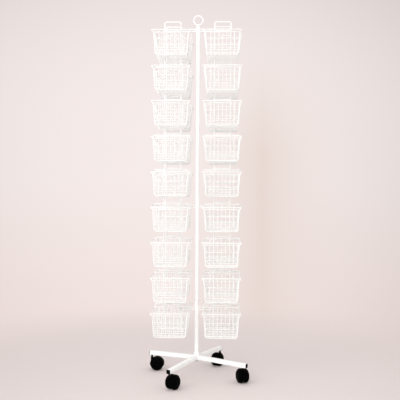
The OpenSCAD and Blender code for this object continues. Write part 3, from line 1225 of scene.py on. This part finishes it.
@dataclass
class Foot(Rack):
    """The four sloped leg tubes with rounded edges, their black end plugs and the seams at the hub."""

    width: float = 20.0
    wall: float = 1.5
    edge_r: float = 2.2
    hub_z: float = 97.5
    slope: float = 2.0
    root: float = 10.4
    cap_t: float = 3.0
    insert_l: float = 26.0
    insert_gap: float = 0.1

    def _place(self, place: Place) -> Matrix:
        """The frame of a leg, whose tube slopes down along local x.

        Args:
            place: The leg.

        Returns:
            The frame.
        """
        lift = Matrix.Translation(mm(0, 0, self.hub_z))
        slope = Matrix.Rotation(math.radians(self.slope), 4, "Y")
        return turned(self.foot_turn + place.quarter) @ lift @ slope

    @staticmethod
    def _square(x: float, half: float, radius: float, steps: int = 4) -> list[Vector]:
        """A square section with rounded corners, across local x.

        Args:
            x: Where it stands.
            half: Half its width.
            radius: Its corners' radius.
            steps: Points added along each corner.

        Returns:
            Its points.
        """
        points = []
        for quarter in range(4):
            for step in range(steps + 1):
                turn = math.pi / 2 * (quarter + step / steps)
                corner = math.pi / 2 * quarter + math.pi / 4
                reach = (half - radius) * math.sqrt(2)
                points.append(
                    mm(
                        x,
                        reach * math.cos(corner) + radius * math.cos(turn),
                        reach * math.sin(corner) + radius * math.sin(turn),
                    )
                )
        return points

    def tube(self) -> bpy.types.Mesh:
        """Builds one leg: a hollow tube with rolled edges and a seam weld round its root.

        Returns:
            The mesh.
        """
        draft = Draft()
        half, inner = self.width / 2, self.width / 2 - self.wall
        far = self.leg_reach - self.cap_t
        skins = [
            (self.root, half, self.edge_r),
            (far - 0.3, half, self.edge_r),
            (far, half - 0.3, self.edge_r - 0.3),
            (far, inner, 0.9),
            (self.root, inner, 0.9),
        ]
        draft.loft([self._square(*skin) for skin in skins], closed=True)
        seam = [
            (self.root - 0.6, half - 0.8, 1.6),
            (self.root - 0.5, half + 0.05, self.edge_r),
            (self.root + 1.0, half + 0.35, self.edge_r + 0.2),
            (self.root + 2.6, half + 0.02, self.edge_r),
            (self.root + 2.6, half - 0.5, self.edge_r - 0.5),
        ]
        draft.loft([self._square(*skin) for skin in seam], closed=True)
        return draft.mesh("leg tube")

    def plug(self) -> bpy.types.Mesh:
        """Builds one end plug: a crowned cap with a lip, and the block in the tube that holds the stem.

        Returns:
            The mesh.
        """
        draft = Draft()
        half = self.width / 2
        far = self.leg_reach - self.cap_t
        inner = half - self.wall - self.insert_gap
        skins = [
            (far - self.insert_l, inner - 1.0, 0.6),
            (far - self.insert_l + 1.5, inner, 0.8),
            (far, inner, 0.8),
            (far, half - 0.35, self.edge_r - 0.2),
            (far + 0.35, half, self.edge_r),
            (self.leg_reach - 1.3, half, self.edge_r),
            (self.leg_reach - 0.45, half - 0.55, self.edge_r - 0.3),
            (self.leg_reach - 0.1, half - 1.8, self.edge_r - 0.6),
            (self.leg_reach, half - 4.5, 1.0),
        ]
        draft.loft([self._square(*skin) for skin in skins])
        return draft.mesh("end plug")

    def build(self, finishes: Finishes) -> None:
        """Adds the legs and their plugs.

        Args:
            finishes: The finishes.
        """
        tube, plug = self.tube(), self.plug()
        for place in Place:
            leg = show(f"{place.word}_leg_tube", placed(tube, self._place(place)))
            finishes.dress(leg, Slot.POWDER)
            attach(leg, "base")
            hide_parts(f"{place.word}_leg")
            end = show(f"{place.word}_stem_socket", placed(plug, self._place(place)))
            finishes.dress(end, Slot.MOULDING)
            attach(end, "base")
            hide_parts("stem_sockets")
            log.info("%s leg and plug", place.word)


@dataclass
class Casters(Rack):
    """The twin-wheel casters: a hooded housing with its stem boss, and two domed wheels each."""

    stem_inset: float = 12.0
    trail: float = 27.0
    wheel_d: float = 66.0
    wheel_w: float = 22.0
    tread_w: float = 10.0
    core_w: float = 12.5
    axle_d: float = 6.0
    hub_r: float = 11.0
    wheel_gap: float = 0.5
    wheel_face: float = 4.0
    hood_gap: float = 1.0
    hood_t: float = 1.8
    hood_start: float = -12.0
    hood_end: float = 192.0
    stem_bore_d: float = 9.1
    boss_d: float = 14.0
    boss_low_z: float = 44.0
    boss_drop: float = 2.0
    bore_gap: float = 0.05
    pockets: int = 6
    pocket_depth: float = 0.7
    wheel_steps: int = 72
    hood_steps: int = 48

    @property
    def hood_r(self) -> float:
        """Outer radius of the hood."""
        return self.wheel_d / 2 + self.hood_gap + self.hood_t

    @property
    def hood_w(self) -> float:
        """Width of the hood over both treads."""
        return self.core_w + 2 * (self.wheel_gap + self.tread_w)

    def _stem(self, place: Place) -> Matrix:
        """The frame of a caster: its stem stands at the origin and the wheels trail along -x."""
        reach = Matrix.Translation(mm(self.leg_reach - self.stem_inset, 0, 0))
        return turned(self.foot_turn + place.quarter) @ reach @ turned(place.caster_turn)

    def _axis(self) -> Matrix:
        """Takes local z to the wheels' axis."""
        shift = Matrix.Translation(mm(-self.trail, 0, self.wheel_d / 2))
        return shift @ Matrix.Rotation(math.radians(90), 4, "X")

    def housing(self) -> bpy.types.Mesh:
        """Builds the hood with rounded lips, the core between the wheels and the stem's boss.

        Returns:
            The mesh.
        """
        draft = Draft()
        axis = self._axis()
        outer, inner = self.hood_r, self.hood_r - self.hood_t
        half, core = self.hood_w / 2, self.core_w / 2
        section = [
            (inner, -half + 0.5),
            (inner + 0.3, -half),
            (outer - 0.9, -half),
            (outer - 0.25, -half + 0.5),
            (outer, -half + 1.6),
            (outer, -2.2),
            (outer - 0.15, -1.6),
            (outer - 0.15, 1.6),
            (outer, 2.2),
            (outer, half - 1.6),
            (outer - 0.25, half - 0.5),
            (outer - 0.9, half),
            (inner + 0.3, half),
            (inner, half - 0.5),
        ]
        rings = []
        for step in range(self.hood_steps + 1):
            turn = math.radians(self.hood_start + (self.hood_end - self.hood_start) * step / self.hood_steps)
            rings.append([axis @ (on_circle(reach, turn, rise) * MM) for reach, rise in section])
        draft.loft(rings)
        self._core(draft, axis, core)
        top = self.wheel_d / 2 + self.hood_r - self.boss_drop
        boss = [
            (self.stem_bore_d / 2, self.boss_low_z),
            (self.boss_d / 2, self.boss_low_z),
            (self.boss_d / 2, top - 1.2),
            (self.boss_d / 2 - 0.8, top - 0.2),
            (self.boss_d / 2 - 1.4, top),
            (self.stem_bore_d / 2 + 0.5, top),
            (self.stem_bore_d / 2, top - 0.5),
        ]
        draft.revolve([(reach * MM, rise * MM) for reach, rise in boss], 32, Matrix.Identity(4))
        return draft.mesh("caster housing")

    def _core(self, draft: Draft, axis: Matrix, half: float) -> None:
        """Adds the web between the wheels.

        Args:
            draft: Where it goes.
            axis: Takes local z to the wheels' axis.
            half: Half its thickness.
        """
        outline = []
        for reach, start, steps in ((self.hood_r - self.hood_t / 2, 0.0, 40), (self.hub_r, math.pi, 16)):
            for step in range(steps + 1):
                turn = start + math.pi * step / steps
                outline.append((reach * math.cos(turn), reach * math.sin(turn)))
        rings = []
        for inset, rise in ((0.5, -half), (0.0, -half + 0.5), (0.0, half - 0.5), (0.5, half)):
            ring = []
            for x, y in outline:
                length = math.hypot(x, y)
                share = (length - inset) / length
                ring.append(axis @ (Vector((x * share, y * share, rise)) * MM))
            rings.append(ring)
        draft.loft(rings)

    def wheel(self, hand: Hand) -> bpy.types.Mesh:
        """Builds one domed wheel with a stepped hub cap and six shallow pockets in its dome.

        Args:
            hand: The side of the housing that it runs on.

        Returns:
            The mesh.
        """
        draft = Draft()
        radius, bore = self.wheel_d / 2, self.axle_d / 2 + self.bore_gap
        rise_to = self.wheel_w - self.tread_w
        profile = [
            (bore, 0.0),
            (radius - 1.2, 0.0),
            (radius - 0.35, 0.35),
            (radius, 1.2),
            (radius, self.tread_w - 1.6),
            (radius - 0.35, self.tread_w - 1.2),
            (radius - 0.35, self.tread_w - 0.8),
            (radius, self.tread_w - 0.4),
        ]
        for degrees in (4, 10, 17, 25, 34, 44, 54, 64, 73):
            turn = math.radians(degrees)
            profile.append(
                (
                    self.hub_r + (radius - self.hub_r) * math.cos(turn),
                    self.tread_w + rise_to * math.sin(turn),
                )
            )
        profile += [
            (self.hub_r + 1.6, self.wheel_w - 0.35),
            (self.hub_r + 1.1, self.wheel_w - 1.0),
            (self.hub_r + 0.4, self.wheel_w - 1.0),
            (self.hub_r - 0.1, self.wheel_w - 0.25),
            (self.hub_r - 0.8, self.wheel_w),
            (self.hub_r * 0.55, self.wheel_w),
            (self.hub_r * 0.45, self.wheel_w - 0.5),
            (0.35, self.wheel_w - 0.5),
            (0.35, self.wheel_w - self.wheel_face),
            (bore, self.wheel_w - self.wheel_face),
        ]
        side = Matrix.Rotation(0.0 if hand is Hand.LEFT else math.pi, 4, "X")
        place = self._axis() @ side @ Matrix.Translation(mm(0, 0, self.core_w / 2 + self.wheel_gap))
        rings = []
        for turn in turns(self.wheel_steps):
            wave = max(0.0, math.cos(self.pockets * turn) - 0.15) / 0.85
            ring = []
            for reach, rise in profile:
                share = (reach - self.hub_r - 3.0) / (radius - self.hub_r - 7.0)
                dip = 0.0
                if rise > self.tread_w and 0.0 < share < 1.0:
                    edge = min(1.0, 3.5 * min(share, 1 - share))
                    dip = self.pocket_depth * min(1.0, 2.2 * wave) * edge
                ring.append(place @ (on_circle(reach, turn, rise - dip) * MM))
            rings.append(ring)
        draft.loft(rings, closed=True)
        return draft.mesh(f"{hand.word} wheel")

    def build(self, finishes: Finishes) -> None:
        """Adds the casters' housings and wheels.

        Args:
            finishes: The finishes.
        """
        housing = self.housing()
        wheels = {hand: self.wheel(hand) for hand in Hand}
        for place in Place:
            caster = f"{place.word}_caster"
            hood = show(f"{caster}_hood", placed(housing, self._stem(place)))
            finishes.dress(hood, Slot.MOULDING)
            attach(hood, caster)
            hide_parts(f"{caster}_housing")
            for hand, mesh in wheels.items():
                node = f"{caster}_{hand.word}_wheel"
                wheel = show(f"{node}_disc", placed(mesh, self._stem(place)))
                finishes.dress(wheel, Slot.WHEEL)
                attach(wheel, node)
                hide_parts(node)
            log.info("%s and its wheels", caster)


@dataclass
class Hardware:
    """The CAD nodes, each in its slot's finish apart from the dark caster stems."""

    slots: dict[str, Slot] = field(
        default_factory=lambda: {
            "foot_hub": Slot.POWDER,
            "pole": Slot.POWDER,
            "pole_plug": Slot.POWDER,
            "ring_finial": Slot.POWDER,
            "caster_stems": Slot.ZINC,
            "spindle": Slot.ZINC,
            "spindle_nut": Slot.ZINC,
            "lower_race": Slot.ZINC,
            "upper_race": Slot.ZINC,
            "ball_ring": Slot.NYLON,
            "lower_bush": Slot.NYLON,
            "upper_bush": Slot.NYLON,
        }
    )

    def _slot_of(self, node: str) -> Slot:
        """The slot of a CAD node, by its name.

        Args:
            node: The node's name.

        Returns:
            Its slot.
        """
        if node in self.slots:
            return self.slots[node]
        if node.endswith("axle"):
            return Slot.ZINC
        if node.endswith("wheel"):
            return Slot.WHEEL
        if node.endswith(("housing", "sockets")):
            return Slot.MOULDING
        return Slot.POWDER

    def build(self, finishes: Finishes) -> None:
        """Dresses every CAD node.

        Args:
            finishes: The finishes.
        """
        for node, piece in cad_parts.items():
            finish = finishes.stem if node == "caster_stems" else finishes.built[self._slot_of(node)]
            if not piece.data.materials:
                piece.data.materials.append(finish)
            for index in range(len(piece.data.materials)):
                piece.data.materials[index] = finish
        log.info("hardware: %d CAD nodes dressed", len(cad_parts))


# The studio


@dataclass(frozen=True)
class Lamp:
    """One round soft lamp, aimed at the rack's middle."""

    name: str
    place: Triple
    size: float
    power: float

    def build(self, target: Vector) -> None:
        """Adds the lamp.

        Args:
            target: Where it is aimed.
        """
        light = bpy.data.lights.new(self.name, "AREA")
        light.shape, light.size, light.energy = "DISK", self.size, self.power
        holder = bpy.data.objects.new(self.name, light)
        bpy.context.scene.collection.objects.link(holder)
        holder.location = self.place
        aim = target - Vector(self.place)
        holder.rotation_euler = aim.to_track_quat("-Z", "Y").to_euler()


@dataclass
class Studio:
    """Floor, backdrop, lamps and the camera.

    The tones' places are slopes from the photograph's side: sideways from straight ahead, or up from level.
    """

    floor_r: float = 9.0
    wall_h: float = 7.0
    segments: int = 96
    seam: tuple[float, float] = (0.5, 2.4)
    grain_scale: float = 14.0
    floor_tone: Colour = (0.725, 0.652, 0.641)
    bounce_tone: Colour = (0.70, 0.68, 0.67)
    wall_tone: Colour = (0.925, 0.835, 0.815)
    rose_tone: Colour = (0.882, 0.764, 0.737)
    # The colour of the rack's soft shadow, painted on the backdrop and the far floor.
    warm_tone: Colour = (0.81, 0.70, 0.65)
    # wall_centre to wall_loss: painted light, the backdrop darker outward and upward from a middle, as a
    # pool of lamplight fading.
    wall_centre: float = -0.05
    side_fall: float = 0.95
    top_from: float = 0.12
    top_fall: float = 2.2
    wall_loss: float = 0.22
    rose_from: float = 0.03
    rose_span: float = 0.22
    # Where the painted shadow of the rack lies: a band to its right, fading upward.
    shade_centre: float = 0.105
    shade_half: float = 0.15
    shade_from: float = 0.24
    shade_span: float = 0.16
    # floor_centre to floor_loss: painted light, the floor's colour darker sideways from a middle.
    floor_centre: float = 0.10
    floor_fall: float = 0.75
    floor_loss: float = 0.15
    facing_from: float = 0.5
    facing_span: float = 0.4
    sky_tone: Colour = (1.0, 0.985, 0.975)
    sky_level: float = 0.95
    lamps: tuple[Lamp, ...] = (
        Lamp("front softbox", (-0.5, -3.6, 1.5), 1.8, 48.0),
        Lamp("left softbox", (-2.6, -2.2, 2.5), 2.4, 29.0),
    )
    lamp_target: Triple = (0.0, 0.0, 0.85)
    distance: float = 3.1
    azimuth: float = 2.5
    height: float = 0.88
    lens: float = 55.8
    sensor_w: float = 36.0
    pan: float = 0.24
    roll: float = 0.31
    shift: tuple[float, float] = (0.0, 0.0012)

    @property
    def eye(self) -> Triple:
        """The camera's place."""
        turn = math.radians(self.azimuth)
        return (self.distance * math.sin(turn), -self.distance * math.cos(turn), self.height)

    def _seen(self, shader: Shader) -> Value:
        """Tells the rays that look from those that light.

        Args:
            shader: The material.

        Returns:
            1 for rays that come from the camera, a reflection or through glass.
        """
        rays = [
            shader.add("ShaderNodeLightPath", output=name)
            for name in ("Is Camera Ray", "Is Glossy Ray", "Is Transmission Ray")
        ]
        return shader.clamp(rays[0] + rays[1] + rays[2])

    def _sight(self, shader: Shader) -> tuple[Value, Value, Value]:
        """Where a point of the studio lies from the photograph's side of the rack.

        Args:
            shader: The material.

        Returns:
            Its slopes to the right and upward, and 1 in front to 0 at the sides and behind.
        """
        turn = math.radians(self.azimuth)
        axes = (
            (math.cos(turn), math.sin(turn), 0.0),
            (-math.sin(turn), math.cos(turn), 0.0),
            (0.0, 0.0, 1.0),
        )
        offset = shader.vector("SUBTRACT", shader.position(), self.eye)
        right, ahead, up = (shader.vector("DOT_PRODUCT", offset, axis, "Value") for axis in axes)
        length = shader.vector("LENGTH", offset, output="Value")
        facing = shader.clamp((ahead / length - self.facing_from) / self.facing_span)
        return right / ahead, up / ahead, facing

    def _backdrop_tone(self, shader: Shader) -> Value:
        """The backdrop's tone: darker outward as painted light, rosy low down, and warmer in a painted soft
        shadow of the rack.

        Args:
            shader: The material.

        Returns:
            The tone.
        """
        across, up, facing = self._sight(shader)
        side = across - self.wall_centre
        high = shader.clamp(up - self.top_from)
        # Painted light: the tone darker outward and upward.
        painted_falloff = side * side * self.side_fall + high * high * self.top_fall
        low = shader.clamp((self.rose_from - up) / self.rose_span)
        rosy = shader.blend(low * facing, self.wall_tone, self.rose_tone)
        plain = shader.blend(shader.clamp(painted_falloff, self.wall_loss) * facing, rosy, BLACK)
        # Painted shadow of the rack: a warm band to its right, fading upward.
        painted_shadow_band = shader.clamp(1.0 - abs(across - self.shade_centre) / self.shade_half)
        depth = shader.clamp((self.shade_from - up) / self.shade_span)
        return shader.blend(painted_shadow_band * painted_shadow_band * depth * facing, plain, self.warm_tone)

    def floor_material(self) -> bpy.types.Material:
        """The floor: lit and shaded near the rack, with its colour painted darker sideways as light falling
        off, and the backdrop's tone farther off.

        Returns:
            The material.
        """
        shader = Shader("studio floor")
        grain = shader.noise(self.grain_scale, 4.0)
        across, _, facing = self._sight(shader)
        # Painted light: the floor's colour darker sideways from floor_centre.
        aside = across - self.floor_centre
        painted_floor_falloff = shader.clamp(aside * aside * self.floor_fall, self.floor_loss) * facing
        tone = shader.blend(painted_floor_falloff, self.floor_tone, BLACK)
        near = shader.add(
            "ShaderNodeBsdfPrincipled",
            sockets={
                "Base Color": shader.blend(self._seen(shader), self.bounce_tone, tone),
                "Roughness": 0.78 + 0.08 * grain,
                "Specular IOR Level": 0.15,
                "Normal": shader.bump(grain, 0.0002, 0.2),
            },
        )
        far = shader.add("ShaderNodeEmission", sockets={"Color": self._backdrop_tone(shader)})
        away = shader.vector("LENGTH", shader.position(), output="Value")
        share = shader.add(
            "ShaderNodeMapRange",
            {"interpolation_type": "SMOOTHERSTEP"},
            {"Value": away, "From Min": self.seam[0], "From Max": self.seam[1]},
        )
        mixed = shader.add("ShaderNodeMixShader", sockets={0: share * self._seen(shader), 1: near, 2: far})
        shader.tree.links.new(mixed.socket, shader.surface)
        return shader.material

    def wall_material(self) -> bpy.types.Material:
        """The backdrop, which only shows and gives no light.

        Returns:
            The material.
        """
        shader = Shader("studio backdrop")
        sockets = {"Color": self._backdrop_tone(shader), "Strength": self._seen(shader)}
        glow = shader.add("ShaderNodeEmission", sockets=sockets)
        shader.tree.links.new(glow.socket, shader.surface)
        return shader.material

    def _skin(self, name: str, profile: Sequence[tuple[float, float]], filled: bool) -> bpy.types.Object:
        """Turns an open profile about the vertical.

        Args:
            name: The name of the floor or backdrop.
            profile: (radius, height) points from the middle outward.
            filled: Whether the first ring is closed by a face.

        Returns:
            The object.
        """
        draft = Draft()
        rings = [
            draft.ring([on_circle(reach, turn, rise) for turn in turns(self.segments)])
            for reach, rise in profile
        ]
        for first, second in zip(rings, rings[1:]):
            draft.bridge(first, second)
        if filled:
            draft.faces.append(tuple(rings[0]))
        return show(name.replace(" ", "_"), draft.mesh(name))

    def build_stage(self) -> None:
        """Adds the round floor and the backdrop that stands round it."""
        levels = [(reach, 0.0) for reach in (0.02, 1.0, 3.0, self.floor_r)]
        ground = self._skin("studio floor", levels, filled=True)
        ground.data.materials.append(self.floor_material())
        levels = [(self.floor_r - 0.5, 0.002), (self.floor_r, 0.5), (self.floor_r, self.wall_h)]
        backdrop = self._skin("studio backdrop", levels, filled=False)
        backdrop.data.materials.append(self.wall_material())
        backdrop.visible_diffuse = False
        backdrop.visible_shadow = False
        log.info("floor and backdrop")

    def build_lamps(self) -> None:
        """Sets the even sky and adds a soft lamp by the camera and a wide one from the left."""
        world = bpy.data.worlds.new("studio sky")
        bpy.context.scene.world = world
        world.use_nodes = True
        sky = world.node_tree.nodes["Background"]
        sky.inputs["Color"].default_value = (*self.sky_tone, 1.0)
        sky.inputs["Strength"].default_value = self.sky_level
        for lamp in self.lamps:
            lamp.build(Vector(self.lamp_target))
            log.info("%s", lamp.name)

    def build_camera(self) -> None:
        """Adds the camera at the photograph's place."""
        lens = bpy.data.cameras.new("photo camera")
        lens.lens, lens.sensor_width = self.lens, self.sensor_w
        lens.shift_x, lens.shift_y = self.shift
        camera = bpy.data.objects.new("photo camera", lens)
        bpy.context.scene.collection.objects.link(camera)
        camera.location = self.eye
        heading = math.radians(self.azimuth) - math.radians(self.pan)
        level = Matrix.Rotation(heading, 4, "Z") @ Matrix.Rotation(math.pi / 2, 4, "X")
        camera.rotation_euler = (level @ Matrix.Rotation(math.radians(self.roll), 4, "Z")).to_euler()
        bpy.context.scene.camera = camera
        log.info("camera")

    def build(self) -> None:
        """Builds the whole studio."""
        scene = bpy.context.scene
        scene.view_settings.view_transform = "Standard"
        self.build_stage()
        self.build_lamps()
        self.build_camera()


def main() -> None:
    """Builds the studio and dresses the rack."""
    logging.basicConfig(level=logging.INFO, format="%(name)s: %(message)s")
    finishes = Finishes().build()
    Studio().build()
    Hardware().build(finishes)
    Baskets().build(finishes)
    Ladders().build(finishes)
    Arms().build(finishes)
    Foot().build(finishes)
    Casters().build(finishes)


if __name__ == "__main__":
    main()
